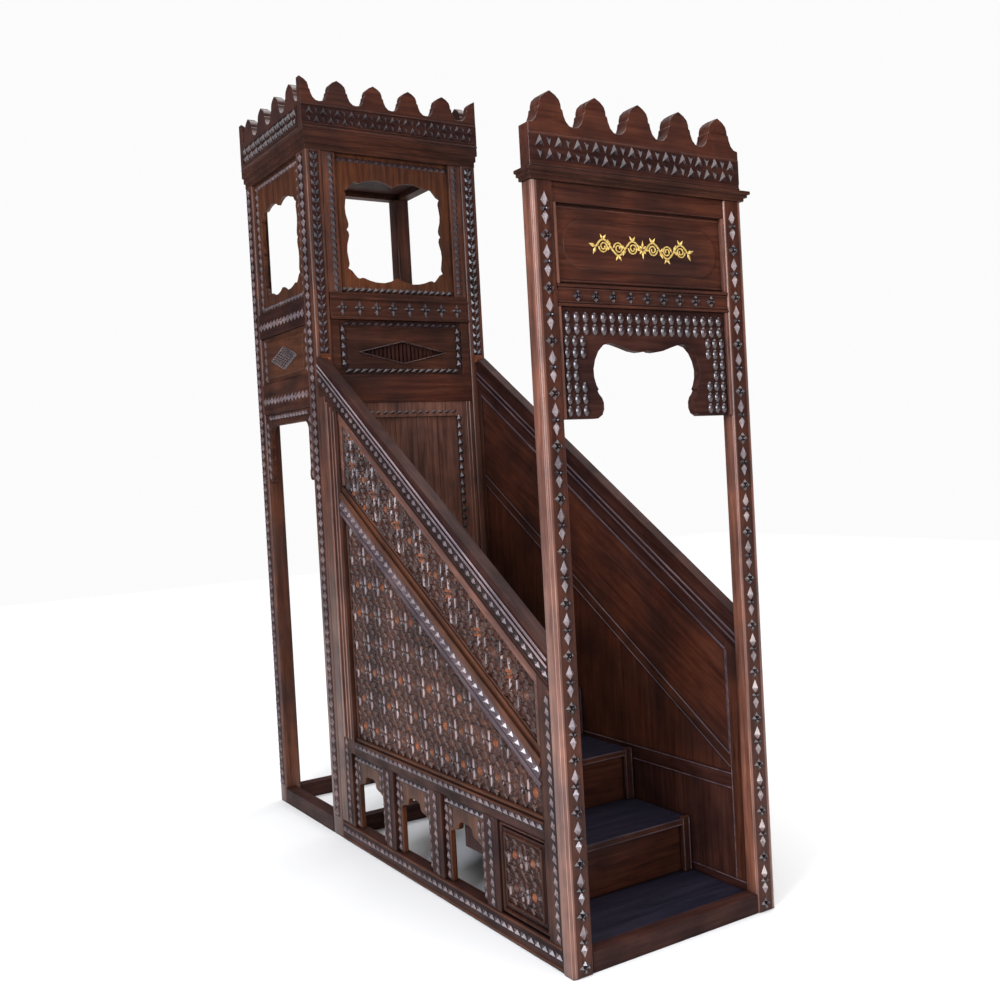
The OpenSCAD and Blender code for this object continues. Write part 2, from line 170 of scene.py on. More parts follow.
def mix(tree, kind, factor, a, b):
    """Colour mix: factor, a and b are sockets or values."""
    made = node(tree, "ShaderNodeMix", data_type="RGBA", blend_type=kind)
    for key, value in ((0, factor), (6, a), (7, b)):
        if isinstance(value, bpy.types.NodeSocket):
            tree.links.new(value, made.inputs[key])
        else:
            made.inputs[key].default_value = value
    return made.outputs[2]


def new_material(name):
    made = bpy.data.materials.new(name)
    made.use_nodes = True
    tree = made.node_tree
    return made, tree, tree.nodes["Principled BSDF"]


# Turn and stretch of the grain for each direction it may run in.
GRAIN = {
    "x": ((0, 0, 0), (3.2, 55, 55)),
    "y": ((0, 0, 0), (55, 3.2, 55)),
    "z": ((0, 0, 0), (55, 55, 3.2)),
    "slope": ((-math.atan(0.61), 0, 0), (55, 3.2, 55)),
}
STUD_TINT = (0.2, 0.068, 0.027, 1)


def wood(name, tones, along="x", rough=0.46, coat=0.06, bump=0.35, hollow_shade=0.75, shine=0.2, tinted=0.0):
    """Stained hardwood: long figure, fine fibre, cloudy tint, and painted shade darkening the hollows, which
    also stands for dark stain gathered there.

    tinted is how far single carvings may differ in colour from their neighbours."""
    made, tree, shader = new_material(name)
    turn, stretch = GRAIN[along]
    fine = [s * (9 if s > 10 else 4) for s in stretch]
    spot = node(tree, "ShaderNodeTexCoord").outputs["Object"]
    turned = node(tree, "ShaderNodeMapping", Vector=spot, Rotation=turn)
    long_way = node(tree, "ShaderNodeMapping", Vector=turned, Scale=stretch)
    fine_way = node(tree, "ShaderNodeMapping", Vector=turned, Scale=fine)
    figure = node(tree, "ShaderNodeTexNoise", Vector=long_way, Scale=1.0, Detail=5.0, Roughness=0.62,
                  Distortion=0.6)
    fibre = node(tree, "ShaderNodeTexNoise", Vector=fine_way, Scale=1.0, Detail=3.0, Roughness=0.7)
    cloud = node(tree, "ShaderNodeTexNoise", Vector=spot, Scale=4.5, Detail=3.0, Roughness=0.55)

    colour = ramp(tree, figure, list(zip((0.3, 0.5, 0.72), tones)))
    shade = ramp(tree, fibre, [(0.32, (0.55, 0.5, 0.48)), (0.6, (1, 1, 1))])
    colour = mix(tree, "MULTIPLY", 0.6, colour, shade)
    clouds = ramp(tree, cloud, [(0.34, (0.42, 0.38, 0.44)), (0.66, (1.4, 1.2, 1.02))])
    colour = mix(tree, "MULTIPLY", 0.7, colour, clouds)
    if tinted:
        chance = node(tree, "ShaderNodeNewGeometry").outputs["Random Per Island"]
        pick = ramp(tree, chance, [(0.0, (0, 0, 0)), (0.55, (0.15,) * 3), (1.0, (tinted,) * 3)])
        colour = mix(tree, "MIX", pick, colour, STUD_TINT)
    # Painted shade: ambient occlusion darkens the colour in hollows, creases and between parts, where shade
    # falls; it also stands for dark stain gathered there.
    hollow = node(tree, "ShaderNodeAmbientOcclusion", samples=4, Distance=0.02)
    shade_in_hollows = ramp(tree, hollow.outputs["AO"], [(0.25, (1 - hollow_shade,) * 3), (0.85, (1, 1, 1))])
    colour = mix(tree, "MULTIPLY", 1.0, colour, shade_in_hollows)

    gloss = node(tree, "ShaderNodeMapRange", Value=cloud, From_Min=0.3, From_Max=0.7, To_Min=rough + 0.14,
                 To_Max=rough - 0.06)
    relief = node(tree, "ShaderNodeBump", Strength=bump, Distance=0.0006, Height=fibre)
    fill(tree, shader, Base_Color=colour, Roughness=gloss, Normal=relief, Coat_Weight=coat,
         Coat_Roughness=0.2, Specular_IOR_Level=shine)
    return made


def gilt():
    """Brushed-on gold paint, a little rubbed through."""
    made, tree, shader = new_material("gold_paint")
    spot = node(tree, "ShaderNodeTexCoord").outputs["Object"]
    speckle = node(tree, "ShaderNodeTexNoise", Vector=spot, Scale=120.0, Detail=3.0)
    colour = ramp(tree, speckle, [(0.35, (0.42, 0.25, 0.05)), (0.65, (0.8, 0.6, 0.2))])
    relief = node(tree, "ShaderNodeBump", Strength=0.4, Distance=0.0005, Height=speckle)
    fill(tree, shader, Base_Color=colour, Metallic=0.35, Roughness=0.42, Normal=relief)
    return made


# Deep, middle and high tone of each wood.
CARVED = ((0.012, 0.007, 0.0095), (0.034, 0.021, 0.026), (0.07, 0.045, 0.054))
RED = ((0.026, 0.0075, 0.005), (0.055, 0.0175, 0.0105), (0.085, 0.03, 0.017))
PALETTES = {
    "dark": ((0.016, 0.006, 0.005), (0.034, 0.013, 0.0105), (0.056, 0.024, 0.019)),
    "umber": ((0.02, 0.007, 0.004), (0.048, 0.0175, 0.011), (0.08, 0.031, 0.019)),
    "red": RED,
    "crest": RED,
    "orange": ((0.034, 0.0105, 0.005), (0.072, 0.0245, 0.0105), (0.115, 0.043, 0.019)),
    "amber": ((0.08, 0.024, 0.01), (0.2, 0.064, 0.026), (0.3, 0.11, 0.048)),
    "tread": ((0.005, 0.006, 0.014), (0.011, 0.011, 0.024), (0.021, 0.02, 0.038)),
    "plank": ((0.06, 0.026, 0.02), (0.13, 0.062, 0.046), (0.2, 0.105, 0.082)),
    "rose": ((0.055, 0.024, 0.018), (0.13, 0.06, 0.045), (0.21, 0.105, 0.082)),
    "lilac": ((0.03, 0.021, 0.026), (0.075, 0.052, 0.065), (0.14, 0.104, 0.125)),
    # The post tone is partly the posts' own warm wood, partly lightened as a painted highlight for the bright
    # band down the portal posts' arrises and side faces.
    "post": ((0.07, 0.028, 0.019), (0.148, 0.064, 0.044), (0.23, 0.108, 0.078)),
    "pillar": ((0.036, 0.013, 0.0075), (0.08, 0.031, 0.019), (0.13, 0.054, 0.035)),
}
FINISHES = {
    "dark": {"rough": 0.5, "coat": 0.03, "shine": 0.1},
    "umber": {"rough": 0.48, "coat": 0.04, "shine": 0.14},
    "crest": {"rough": 0.3, "coat": 0.3, "shine": 0.4},
    "post": {"rough": 0.36, "coat": 0.3, "shine": 0.4},
    "pillar": {"rough": 0.38, "coat": 0.2, "shine": 0.3},
}
MATERIALS = {}


def stain(tones, along):
    """The wood of one tone and grain direction, made once."""
    key = f"{tones}_wood_{along}"
    if key not in MATERIALS:
        MATERIALS[key] = wood(key, PALETTES[tones], along, **FINISHES.get(tones, {}))
    return MATERIALS[key]


carved = wood("carved_wood", CARVED, "z", rough=0.32, coat=0.3, bump=0.15, shine=0.45)
# Near-black strips laid under the bead rows: painted shade standing in for the dark groove round each bead.
groove_shade = wood("groove_shade_wood", ((0.006, 0.003, 0.003), (0.013, 0.0065, 0.007), (0.024, 0.013, 0.014)))
star_wood = wood("star_wood", CARVED, "z", rough=0.22, coat=0.65, bump=0.12, shine=0.5)
# Pale lilac-grey laths: a painted highlight on top of the gloss they really catch.
lath_highlight_wood = wood("lath_highlight_wood", ((0.12, 0.095, 0.105), (0.28, 0.23, 0.255), (0.42, 0.36, 0.39)), "z",
                   rough=0.32, coat=0.3, bump=0.2, hollow_shade=0.7, shine=0.4)
# Pale pink lines on the posts' rounded arrises: a painted highlight standing in for the light's reflection
# there.
arris_highlight_wood = wood("arris_highlight_wood", ((0.16, 0.085, 0.068), (0.3, 0.175, 0.145), (0.44, 0.28, 0.24)), "z",
                 rough=0.3, coat=0.5, shine=0.45)
line_wood = wood("line_wood", ((0.06, 0.045, 0.055), (0.16, 0.125, 0.15), (0.27, 0.22, 0.255)), "slope",
                 rough=0.32, coat=0.3, bump=0.2, hollow_shade=0.7, shine=0.4)
# Pale grey-lilac: a painted highlight on the post leaves and the sloping rail's dents, added to their real
# gloss.
facet_highlight_wood = wood("facet_highlight_wood", ((0.07, 0.055, 0.06), (0.18, 0.15, 0.165), (0.3, 0.26, 0.28)), "z",
                 rough=0.24, coat=0.6, bump=0.12, shine=0.5)
bead_wood = wood("bead_wood", ((0.04, 0.027, 0.032), (0.11, 0.079, 0.09), (0.2, 0.15, 0.168)), "slope",
                 rough=0.36, coat=0.2, bump=0.15, hollow_shade=0.85, shine=0.5)
lattice_wood = wood("lattice_wood", ((0.019, 0.0085, 0.008), (0.055, 0.028, 0.025), (0.105, 0.058, 0.052)),
                    "y", rough=0.34, coat=0.3, bump=0.15, hollow_shade=0.85)
stud_wood = wood("stud_wood", ((0.02, 0.01, 0.009), (0.06, 0.026, 0.02), (0.1, 0.045, 0.03)), "y",
                 rough=0.36, coat=0.2, bump=0.15, tinted=0.9)
gold = gilt()


# ---- mesh tools
def put(name, data):
    """A new object in the scene."""
    made = bpy.data.objects.new(name, data)
    bpy.context.scene.collection.objects.link(made)
    return made


def make_piece(name, mesh, material, slot):
    """Links a mesh as a piece that rides with the minbar."""
    made = put(name, mesh)
    mesh.materials.append(material)
    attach(made, "root")
    return made


EDGE = 2.2
SHARP = math.radians(32)


def eased(cad_node, material, slot):
    """A copy of a CAD board with its flat faces joined and its sharp edges rounded over."""
    form = bmesh.new()
    form.from_mesh(frame["nodes"][cad_node].data)
    bmesh.ops.remove_doubles(form, verts=form.verts, dist=0.00002)
    bmesh.ops.dissolve_limit(form, angle_limit=math.radians(0.5), verts=form.verts, edges=form.edges)
    bmesh.ops.recalc_face_normals(form, faces=form.faces)
    for line in form.edges:
        line.smooth = line.calc_face_angle(math.pi) < SHARP
    for face in form.faces:
        face.smooth = True
    mesh = bpy.data.meshes.new(cad_node + "_wood")
    form.to_mesh(mesh)
    form.free()
    mesh.materials.clear()
    made = make_piece(cad_node + "_wood", mesh, material, slot)
    round_over = made.modifiers.new("round_over", "BEVEL")
    round_over.width = EDGE * MM
    round_over.segments = 2
    round_over.limit_method = "ANGLE"
    round_over.angle_limit = SHARP
    round_over.harden_normals = True
    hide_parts(cad_node)
    return made


SINK = 0.6


class Relief:
    """Small closed carvings gathered into one piece. They start SINK mm below the face they sit on."""

    def __init__(self):
        self.verts = []
        self.faces = []

    def add(self, verts, faces):
        first = len(self.verts)
        self.verts.extend(verts)
        self.faces.extend([[first + i for i in face] for face in faces])

    def stamp(self, motif, centre, u, n, size):
        """Sets down a unit motif: size is its length along u, its width and its height in mm."""
        v = n.cross(u)
        points, faces = motif
        long, wide, high = (s * MM for s in size)
        self.add([centre + u * (p[0] * long) + v * (p[1] * wide) + n * (p[2] * high) for p in points], faces)

    def sweep(self, a, b, n, section):
        """A solid with a section of (across, up) points in mm, from a to b on the face with normal n."""
        v = n.cross((b - a).normalized())
        count = len(section)
        verts = [end + v * (p * MM) + n * (q * MM) for end in (a, b) for p, q in section]
        faces = [[i, i + 1, count + i + 1, count + i] for i in range(count - 1)]
        faces += [[count - 1, 0, count, 2 * count - 1], list(range(count)), list(range(count, 2 * count))]
        self.add(verts, faces)

    def bar(self, a, b, n, size, arc=4):
        """A half-round moulding of size (width, height), or a sharp ridge if arc is 1."""
        wide, high = size
        turns = [math.pi * i / (arc + 1) for i in range(1, arc + 1)]
        curve = [(math.cos(t) * wide / 2, math.sin(t) * high) for t in turns]
        self.sweep(a, b, n, [(wide / 2, -SINK), *curve, (-wide / 2, -SINK)])

    def strip(self, a, b, n, size, chamfer=2.0):
        """A flat strip of size (width, height) with chamfered long edges."""
        half = size[0] / 2
        inner, shoulder = half - chamfer, size[1] - chamfer
        self.sweep(a, b, n, [(-half, -SINK), (-half, shoulder), (-inner, size[1]), (inner, size[1]),
                             (half, shoulder), (half, -SINK)])

    def row(self, a, b, n, pitch, size, slant=0.0):
        """Facets in a line from a to b, their length along the line, turned by slant."""
        count = max(1, round((b - a).length / (pitch * MM)))
        turned = Matrix.Rotation(slant, 3, n) @ (b - a).normalized()
        for i in range(count):
            self.stamp(FACET, a.lerp(b, (i + 0.5) / count), turned, n, size)

    def piece(self, name, material, slot="dark_wood", smooth=False):
        """Makes one piece of everything gathered."""
        mesh = bpy.data.meshes.new(name)
        mesh.from_pydata(self.verts, [], self.faces)
        form = bmesh.new()
        form.from_mesh(mesh)
        bmesh.ops.recalc_face_normals(form, faces=form.faces)
        for face in form.faces:
            face.smooth = smooth
        if smooth:
            for line in form.edges:
                line.smooth = line.calc_face_angle(math.pi) < math.radians(50)
        form.to_mesh(mesh)
        form.free()
        return make_piece(name, mesh, material, slot)


def half_turned(profile, arc):
    """Closed half-round body turned about the X axis from (place, radius) pairs, ends on the axis."""
    points = [(profile[0][0], 0, -0.05)]
    faces = []
    turns = [math.pi * i / arc for i in range(arc + 1)]
    ring = arc + 1
    for place, radius in profile[1:-1]:
        points += [(place, math.cos(t) * radius / 2, math.sin(t) * radius - 0.05) for t in turns]
    points.append((profile[-1][0], 0, -0.05))
    rings = len(profile) - 2
    last = len(points) - 1
    for i in range(ring):
        j = (i + 1) % ring
        faces.append([0, 1 + i, 1 + j])
        for k in range(rings - 1):
            low = 1 + k * ring
            faces.append([low + i, low + ring + i, low + ring + j, low + j])
        low = 1 + (rings - 1) * ring
        faces.append([low + i, last, low + j])
    return points, faces


def stud(sides):
    """A faceted button: a low prism with its top drawn in."""
    ring = [(math.cos(2 * math.pi * (i + 0.5) / sides) / 2, math.sin(2 * math.pi * (i + 0.5) / sides) / 2)
            for i in range(sides)]
    points = [(x, y, -0.05) for x, y in ring] + [(x * 0.5, y * 0.5, 0.8) for x, y in ring] + [(0, 0, 1.0)]
    faces = [list(range(sides))]
    for i in range(sides):
        j = (i + 1) % sides
        faces += [[i, j, sides + j, sides + i], [sides + i, sides + j, 2 * sides]]
    return points, faces


def pyramid(base, top=0):
    """A pyramid on a base outline, with its top over the X axis."""
    points = [(x, y, -0.05) for x, y in base] + [(top, 0, 1)]
    count = len(base)
    return points, [list(range(count))] + [[i, (i + 1) % count, count] for i in range(count)]


FACET = pyramid([(-0.5, 0), (0, -0.5), (0.5, 0), (0, 0.5)])
SPEAR = pyramid([(-0.45, -0.5), (0.55, 0), (-0.45, 0.5), (-0.25, 0)])
LATH = ([(-0.5, -0.5, -0.05), (0.5, -0.5, -0.05), (0.5, 0.5, -0.05), (-0.5, 0.5, -0.05), (-0.36, 0, 1),
         (0.36, 0, 1)], [[3, 2, 1, 0], [0, 1, 5, 4], [2, 3, 4, 5], [1, 2, 5], [3, 0, 4]])
BEAD = half_turned([(-0.5, 0), (-0.4, 0.55), (-0.2, 0.9), (0, 1), (0.2, 0.9), (0.4, 0.55), (0.5, 0)], 4)
PETAL = pyramid([(0, 0), (0.42, 0.5), (1, 0), (0.42, -0.5)], 0.42)
STUD4 = stud(4)
STUD8 = stud(8)


def flower(relief, centre, upright, level, high, button, size):
    """A button with four petals round it, given the (length, width) of the upright and level ones."""
    for way, (long, wide) in ((Z, upright), (-X, level), (-Z, upright), (X, level)):
        relief.stamp(PETAL, centre + way * (1.5 * MM), way, AHEAD, (long, wide, high))
    relief.stamp(button, centre, Z, AHEAD, size)


# ---- boards
# Tone and grain of every board, with the CAD nodes that have them.
LOOKS = [
    ("post", "z", "portal_post_left portal_post_right"), ("dark", "x", "portal_sill"),
    ("crest", "x", "portal_crest"), ("umber", "x", "portal_cornice"),
    ("red", "x", "portal_top_rail portal_panel portal_rosette_rail"), ("dark", "x", "portal_valance"),
    ("rose", "z", "portal_strips"), ("dark", "z", "base_stiles"), ("orange", "z", "arch_heads"),
    ("tread", "x", "floor_board stair_treads stair_platform"), ("red", "x", "stair_risers"),
    ("umber", "z", "riser_end_strips"), ("pillar", "z", "tower_post_front_left tower_post_front_right"),
    ("pillar", "z", "tower_post_back_left tower_post_back_right"), ("dark", "y", "tower_side_sills"),
    ("dark", "x", "tower_cross_sills"), ("umber", "x", "tower_cornice"), ("dark", "y", "tower_ceiling"),
    ("crest", "x", "crown_front crown_back"), ("crest", "y", "crown_left crown_right"),
    ("orange", "z", "window_board_front window_board_left"), ("pillar", "z", "window_stiles"),
    ("umber", "x", "front_rail grille_panel"), ("dark", "z", "grille_spindles"),
    ("red", "x", "front_lower_rail"), ("plank", "z", "seat_back"), ("dark", "y", "side_rails_upper"),
    ("umber", "y", "side_rails_lower"), ("orange", "y", "side_panels"), ("umber", "y", "side_valances"),
    ("umber", "x", "tower_back_panel"),
]
for side in SIDES:
    LOOKS += [
        ("dark", "slope", f"handrail_{side}"), ("umber", "slope", f"slope_rail_{side}"),
        ("dark", "y", f"level_rail_{side} base_rail_{side}"),
        ("umber", "z", f"front_stile_{side} back_stile_{side}"), ("red", "slope", f"upper_panel_{side}"),
        ("red", "z", f"lower_panel_{side}"), ("dark", "z", f"base_panel_{side}"),
    ]

SLOT = {sub["node"]: sub["material_slot"] for sub in frame["record"]["subparts"]}
for tones, along, cad_nodes in LOOKS:
    for cad_node in cad_nodes.split():
        eased(cad_node, stain(tones, along), SLOT[cad_node])

# ---- portal
ARRIS_IN = 4.7
STAR_PITCH = 84.5


def frieze(name, middle, u, n, long, count, deep, material):
    """Two staggered rows of pointed leaves, large upright ones between small hanging ones."""
    end = u * ((long / 2 - 1) * MM)
    band = Relief()
    band.strip(middle - end, middle + end, n, (deep, 1.5), 1.0)
    band.piece(f"{name}_band", stain("dark", "x"))
    leaves = Relief()
    pitch = (long - 8) / count
    for row, lift in enumerate((-0.25, 0.25)):
        for i in range(2 * (count + row) + 1):
            shift = (i - count - row) * pitch / 2
            spot = middle + u * (shift * MM) + Z * (lift * deep * MM)
            if i % 2 == 0 and abs(shift) < long / 2 - 22:
                leaves.stamp(SPEAR, spot - Z * (2 * MM), Z, n, (deep * 0.54, 42, 14))
            elif i % 2 and abs(shift) < long / 2 - 12:
                leaves.stamp(SPEAR, spot, -Z, n, (deep * 0.4, 27, 10))
    leaves.piece(f"{name}_leaves", material)


def portal():
    """Star posts, leaf frieze, mouldings, rosette rail and bead rows of the portal."""
    crest_lo, crest_hi = span("portal_crest")
    panel_lo, panel_hi = span("portal_panel")
    rail_lo, rail_hi = span("portal_rosette_rail")
    valance_lo, valance_hi = span("portal_valance")
    post_top = PORTAL_POST[1].z
    post_centre = POST_OUT - 47

    for name, side in SIDES.items():
        stars = Relief()
        leaves = Relief()
        for i in range(30):
            centre = at(side * post_centre, 0, post_top - 92 - STAR_PITCH * i)
            if i % 2:
                flower(stars, centre, (22, 23), (24, 22), 12, STUD4, (9, 9, 12))
                continue
            for way, long, wide in ((Z, 57, 36), (-Z, 51, 32)):
                leaves.stamp(PETAL, centre + way * (3 * MM), way, AHEAD, (long, wide, 15))
            for way in (X, -X):
                stars.stamp(PETAL, centre, way, AHEAD, (21, 19, 14))
            stars.stamp(STUD4, centre, Z, AHEAD, (14, 14, 15))
        stars.piece(f"portal_post_{name}_stars", star_wood)
        # The long leaves are in pale wood: a painted highlight on them.
        leaves.piece(f"portal_post_{name}_leaves", facet_highlight_wood)
        field = Relief()
        field.strip(*upward(side * post_centre, 0, 3, post_top - 3), AHEAD, (60, 1.2), 1.0)
        field.piece(f"portal_post_{name}_field", stain("red", "z"), "warm_wood")
        # Painted highlight: pale lines down both rounded arrises of each post.
        arris_lines = Relief()
        for edge, x in zip((LEFT, RIGHT), sorted((side * POST_IN, side * POST_OUT))):
            line = upward(x - edge * ARRIS_IN, ARRIS_IN, 2, post_top - 2)
            arris_lines.bar(*line, (X * edge - Y).normalized(), (15, 1.6))
        arris_lines.piece(f"portal_post_{name}_arris_highlights", arris_highlight_wood, "warm_wood", smooth=True)

    frieze("portal_crest", at(0, crest_lo.y, crest_lo.z + 70), X, AHEAD, crest_hi.x - crest_lo.x, 12, 84,
           star_wood)

    lines = Relief()
    for z, high in ((crest_lo.z + 10, 5), (crest_lo.z + 112, 3)):
        lines.bar(*across(crest_hi.x - 3, crest_lo.y, z), AHEAD, (9, high))
    for z in (rail_lo.z + 14, rail_hi.z - 14):
        lines.bar(*across(rail_hi.x - 1, 6, z), AHEAD, (8, 4))
    for z in (panel_lo.z + 12, panel_hi.z - 10):
        lines.bar(*across(panel_hi.x - 4, panel_lo.y + 6, z), AHEAD, (10, 5))
    lines.piece("portal_mouldings", stain("red", "x"), "red_wood", smooth=True)

    rosettes = Relief()
    for i in range(9):
        centre = at((i - 4) * 72, 6, (rail_lo.z + rail_hi.z) / 2)
        flower(rosettes, centre, (23, 21), (22, 20), 12, STUD8, (9, 9, 10))
    rosettes.piece("portal_rosettes", star_wood)

    beads = Relief()
    for z in (valance_hi.z - 32, valance_hi.z - 72):
        for i in range(19):
            beads.stamp(BEAD, at((i - 9) * 36.5, valance_lo.y, z), Z, AHEAD, (43, 25, 12))
    for side in (LEFT, RIGHT):
        for inset, kept in ((20, range(7)), (52, range(7)), (84, (0, 1, 4, 5, 6))):
            for i in kept:
                spot = at(side * (valance_hi.x - inset), valance_lo.y, valance_hi.z - 112 - 38 * i)
                beads.stamp(BEAD, spot, Z, AHEAD, (41, 23, 12))
    beads.piece("valance_beads", star_wood, smooth=True)


def gold_scroll():
    """A generic gilt scroll: two mirrored stems with leaves round a centre flower."""
    lo, hi = span("portal_panel")
    field_y = lo.y - 0.2
    mid_z = (lo.z + hi.z) / 2
    scroll = Relief()

    def stroke(points, wide):
        for a, b in zip(points, points[1:]):
            scroll.bar(at(a[0], field_y, a[1]), at(b[0], field_y, b[1]), AHEAD, (wide, 3), arc=3)

    wave = 62
    for side in (LEFT, RIGHT):
        stroke([(side * (12 + wave * i / 12), mid_z + 25 * math.sin(math.pi * i / 12)) for i in range(37)], 7)
        for k in range(3):
            lift = -1 if k % 2 else 1
            eye = (side * (12 + wave * (k + 0.5)), mid_z + lift)
            curl = []
            for i in range(21):
                turn = i * 0.5
                reach = 20 * (1 - i / 27)
                curl.append((eye[0] + side * reach * math.cos(turn), eye[1] - lift * reach * math.sin(turn)))
            stroke(curl, 5)
            joint = at(side * (12 + wave * (k + 1)), field_y, mid_z)
            for way in (X * side * 0.5 - Z * lift, X * side + Z * lift * 0.3):
                scroll.stamp(PETAL, joint, way.normalized(), AHEAD, (30, 13, 3))
            crest = at(eye[0], field_y, mid_z + lift * 25)
            for lean in (-0.7, 0.7):
                scroll.stamp(PETAL, crest, (Z * lift + X * lean).normalized(), AHEAD, (22, 10, 3))
    for i in range(8):
        turn = math.pi * i / 4
        way = X * math.cos(turn) + Z * math.sin(turn)
        scroll.stamp(PETAL, at(0, field_y, mid_z) + way * 3 * MM, way, AHEAD, (17 if i % 2 else 30, 10, 3.5))
    scroll.piece("gilt_scroll", gold, "red_wood")


# ---- side walls
def clipped(a, b, region):
    """The part of segment a-b inside a convex region given anticlockwise, or None."""
    start, end = 0.0, 1.0
    way = b - a
    for i, corner in enumerate(region):
        side = region[(i + 1) % len(region)] - corner
        inward = Vector((-side.y, side.x))
        depth = inward.dot(a - corner)
        gain = inward.dot(way)
        if abs(gain) < 1e-9:
            if depth < 0:
                return None
        elif gain > 0:
            start = max(start, -depth / gain)
        else:
            end = min(end, -depth / gain)
    if end - start < 0.08:
        return None
    return a + way * start, a + way * end


def inside(point, region, margin):
    """Whether a point is at least a margin inside a convex region given anticlockwise."""
    for i, corner in enumerate(region):
        side = (region[(i + 1) % len(region)] - corner).normalized()
        if Vector((-side.y, side.x)).dot(point - corner) < margin:
            return False
    return True


def spoke(turn):
    """A unit vector in a wall's (depth, height) plane."""
    return Vector((math.cos(turn), math.sin(turn)))


def wall_way(turn):
    """A direction along a side wall, turned up from level."""
    return Y * math.cos(turn) + Z * math.sin(turn)


def star_points(centre, radius):
    """Outline of an eight-pointed star made of two crossed squares."""
    waist = radius * math.cos(math.pi / 4) / math.cos(math.pi / 8)
    return [centre + spoke(i * math.pi / 8) * (waist if i % 2 else radius) for i in range(16)]


def grow(region, by):
    """Corners of a convex region moved outwards by a distance."""
    grown = []
    count = len(region)
    for i in range(count):
        before = (region[i] - region[i - 1]).normalized()
        after = (region[(i + 1) % count] - region[i]).normalized()
        out_a = Vector((before.y, -before.x))
        out_b = Vector((after.y, -after.x))
        way = (out_a + out_b).normalized()
        grown.append(tuple(region[i] + way * (by / max(0.5, way.dot(out_a)))))
    return grown


class Face:
    """A face of a side wall, in (depth, height) mm. It lies at a depth below the wall's outermost plane,
    and way is -1 where it looks into the minbar."""

    def __init__(self, side, depth, way=1):
        self.n = X * (side * way)
        self.x = side * (WALL_OUT - depth)

    def at(self, y, z):
        return at(self.x, y, z)

    def upward(self, y, low, high):
        return upward(self.x, y, low, high)

    def level(self, y0, y1, z):
        return at(self.x, y0, z), at(self.x, y1, z)

    def slope(self, line, drop, y0, y1):
        """Both ends of a line that runs at a drop below a sloping one."""
        return self.at(y0, line(y0) - drop), self.at(y1, line(y1) - drop)


def star_lattice(name, face, region, centres, radius, bar, orange_every):
    """Double-outlined stars and buttons, clipped to a region of a wall face, with some centres amber."""
    bars = Relief()
    studs = Relief()
    warm = Relief()

    def lay(a, b, size):
        part = clipped(a, b, region)
        if part:
            bars.bar(face.at(*part[0]), face.at(*part[1]), face.n, size, arc=1)

    def button(point, motif, size, turn=0.0, onto=studs):
        if inside(point, region, size[0] * 0.45):
            onto.stamp(motif, face.at(*point), wall_way(turn), face.n, size)

    for number, centre in enumerate(centres):
        for scale in (1.0, 0.58):
            ring = star_points(centre, radius * scale)
            for a, b in zip(ring, ring[1:] + ring[:1]):
                lay(a, b, (bar[0] * (0.7 + 0.3 * scale), bar[1] * scale))
        for i in range(8):
            turn = math.pi * i / 4
            spot = centre + spoke(turn) * radius * 0.76
            button(spot, STUD4, (radius * 0.2, radius * 0.2, 5), turn + math.pi / 4)
        button(centre, STUD8, (radius * 0.54, radius * 0.54, 7), math.pi / 8,
               warm if number % orange_every == 0 else studs)
        for i in range(4):
            turn = math.pi * (i + 0.5) / 2
            way = spoke(turn)
            button(centre + way * radius * 1.4142, STUD4, (radius * 0.42, radius * 0.42, 6), turn)
            lay(centre + way * radius * 0.95, centre + way * radius * 1.38, (bar[0] * 0.7, bar[1] * 0.7))
    bars.piece(f"{name}_lattice", lattice_wood, "warm_wood")
    studs.piece(f"{name}_studs", stud_wood, "warm_wood")
    if warm.verts:
        warm.piece(f"{name}_warm_studs", stain("amber", "z"), "warm_wood")


def strokes(name, face, region, centres, offsets, half, size):
    """Slim upright laths round every centre, one above the other, that catch the light, in a pale wood that
    adds a painted highlight.
    """
    laths = Relief()
    for centre in centres:
        for offset in offsets:
            for lift in (-half / 2, half / 2):
                spot = centre + Vector((offset + lift * 0.08, lift))
                if inside(spot, region, half / 2):
                    laths.stamp(LATH, face.at(*spot), Z, face.n, (half * 0.94, *size))
    laths.piece(f"{name}_laths", lath_highlight_wood, "warm_wood")


def border(relief, face, corners, size, arc=4):
    """Half-round moulding round a closed outline on a wall face."""
    for a, b in zip(corners, corners[1:] + corners[:1]):
        relief.bar(face.at(*a), face.at(*b), face.n, size, arc)


def outline(y0, z0, y1, z1):
    """Corners of a rectangle on a wall face."""
    return [Vector((y0, z0)), Vector((y1, z0)), Vector((y1, z1)), Vector((y0, z1))]


def steps(start, end, pitch):
    """Middles of the equal steps of about one pitch between two depths."""
    count = round((end - start) / pitch)
    return [start + (end - start) * (i + 0.5) / count for i in range(count)]


